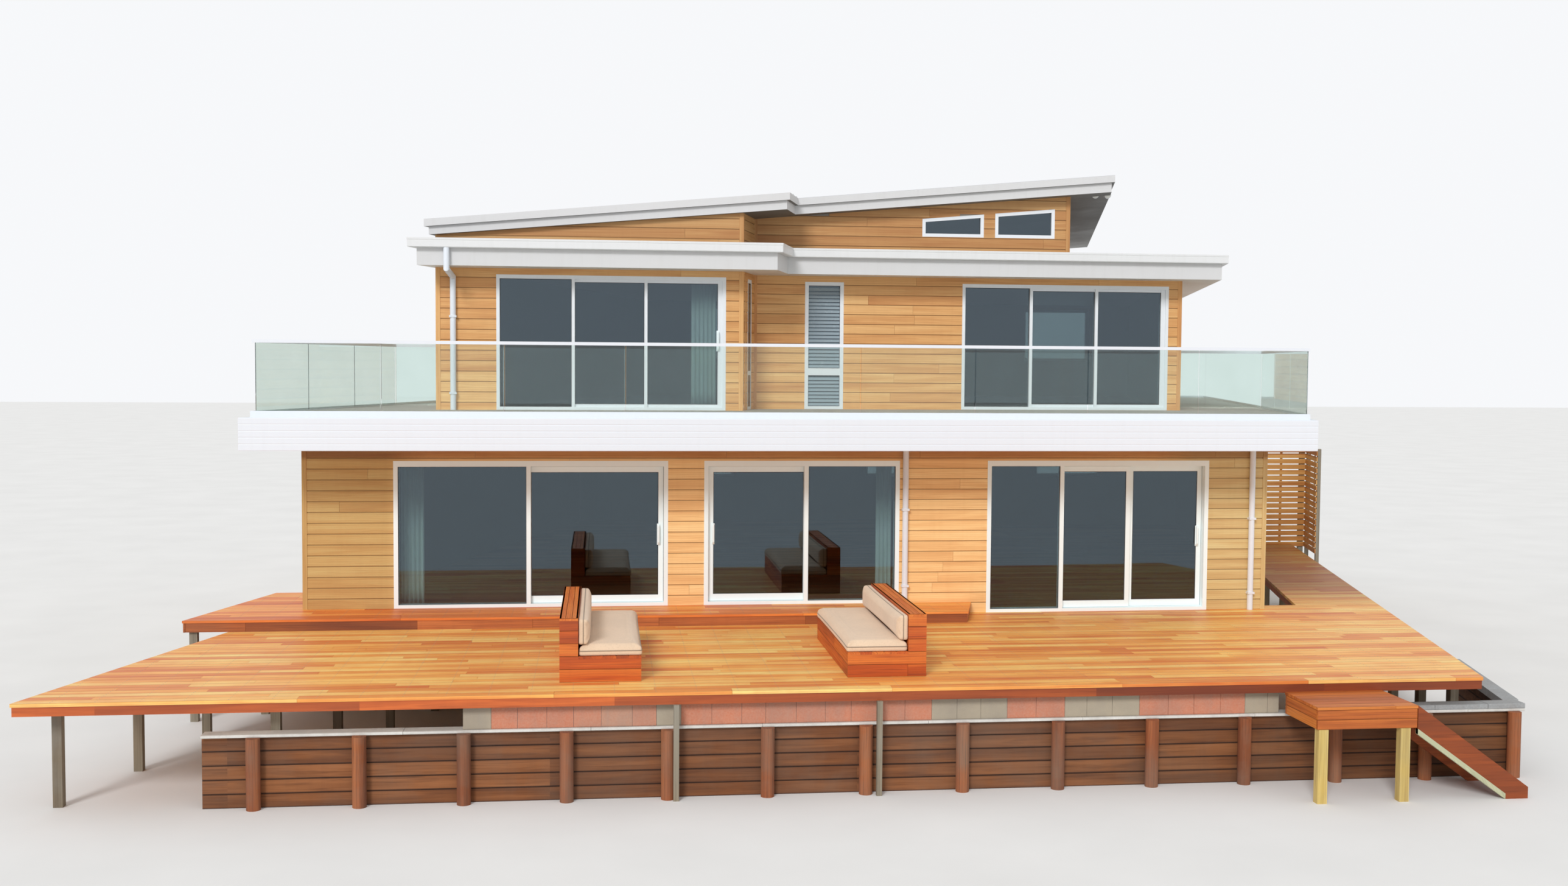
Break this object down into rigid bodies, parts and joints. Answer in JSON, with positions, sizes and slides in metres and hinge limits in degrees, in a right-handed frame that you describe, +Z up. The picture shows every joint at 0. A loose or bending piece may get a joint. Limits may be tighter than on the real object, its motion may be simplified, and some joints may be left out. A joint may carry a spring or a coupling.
{
  "type": "beach house",
  "caption": "Beach house of two storeys in horizontal cedar boards, with a glazed balcony, sliding doors, sloping roofs and a raised hardwood deck.",
  "frame": {"origin": "on the ground under the middle of the front foundation wall", "axes": "+X to the right along the sea front, +Y from the sea side to the back, +Z up"},
  "size_m": [20.3337, 18.445, 7.73],
  "materials": {
    "cedar": "oiled horizontal boards",
    "white_metal": "satin",
    "roof_sheet": "satin",
    "white_joinery": "powder coated",
    "clear_glass": "polished",
    "deck_hardwood": "oiled",
    "framing_timber": "rough sawn",
    "retaining_timber": "weathered",
    "masonry": "rough",
    "cushion_cloth": "woven"
  },
  "bodies": {
    "house": {"foundation": "masonry", "ground_floor": "masonry", "lower_front_piers": "cedar", "lower_front_header": "cedar", "lower_walls": "cedar", "balcony_slab": "masonry", "balcony_fascia": "white_metal", "balustrade_glass": "clear_glass", "balustrade_rail": "white_metal", "upper_walls": "cedar", "mid_roof": "white_metal", "roof_gutter": "white_metal", "clerestory_walls": "cedar", "top_roof": "roof_sheet", "top_roof_band": "white_metal", "door_tracks": "white_joinery", "door_jambs": "white_joinery", "window_frames": "white_joinery", "fixed_glass": "clear_glass", "downpipes": "white_metal", "main_deck": "deck_hardwood", "side_walkway": "deck_hardwood", "deck_fascia": "deck_hardwood", "deck_bearers": "framing_timber", "deck_posts": "framing_timber", "deck_step": "deck_hardwood", "retaining_boards": "retaining_timber", "retaining_posts": "retaining_timber", "block_band": "masonry", "benches": "deck_hardwood", "bench_cushions": "cushion_cloth", "landing": "deck_hardwood", "landing_posts": "framing_timber", "stair_stringers": "deck_hardwood", "stair_treads": "deck_hardwood", "side_screen": "cedar", "screen_return": "cedar"},
    "left_door": {"left_door_sash": "white_joinery", "left_door_glass": "clear_glass"},
    "middle_door": {"middle_door_sash": "white_joinery", "middle_door_glass": "clear_glass"},
    "right_outer_door": {"right_outer_sash": "white_joinery", "right_outer_glass": "clear_glass"},
    "right_inner_door": {"right_inner_sash": "white_joinery", "right_inner_glass": "clear_glass"}
  },
  "joints": [
    {"name": "left_door_slide", "type": "slide", "parent": "house", "child": "left_door", "axis": [-1, 0, 0], "range_m": [0, 1.74]},
    {"name": "middle_door_slide", "type": "slide", "parent": "house", "child": "middle_door", "axis": [1, 0, 0], "range_m": [0, 1.245]},
    {"name": "right_outer_slide", "type": "slide", "parent": "house", "child": "right_outer_door", "axis": [-1, 0, 0], "range_m": [0, 2]},
    {"name": "right_inner_slide", "type": "slide", "parent": "house", "child": "right_inner_door", "axis": [-1, 0, 0], "range_m": [0, 1]}
  ],
  "couplings": [
    {"joint": "right_inner_slide", "follows": "right_outer_slide", "ratio": 0.5}
  ]
}
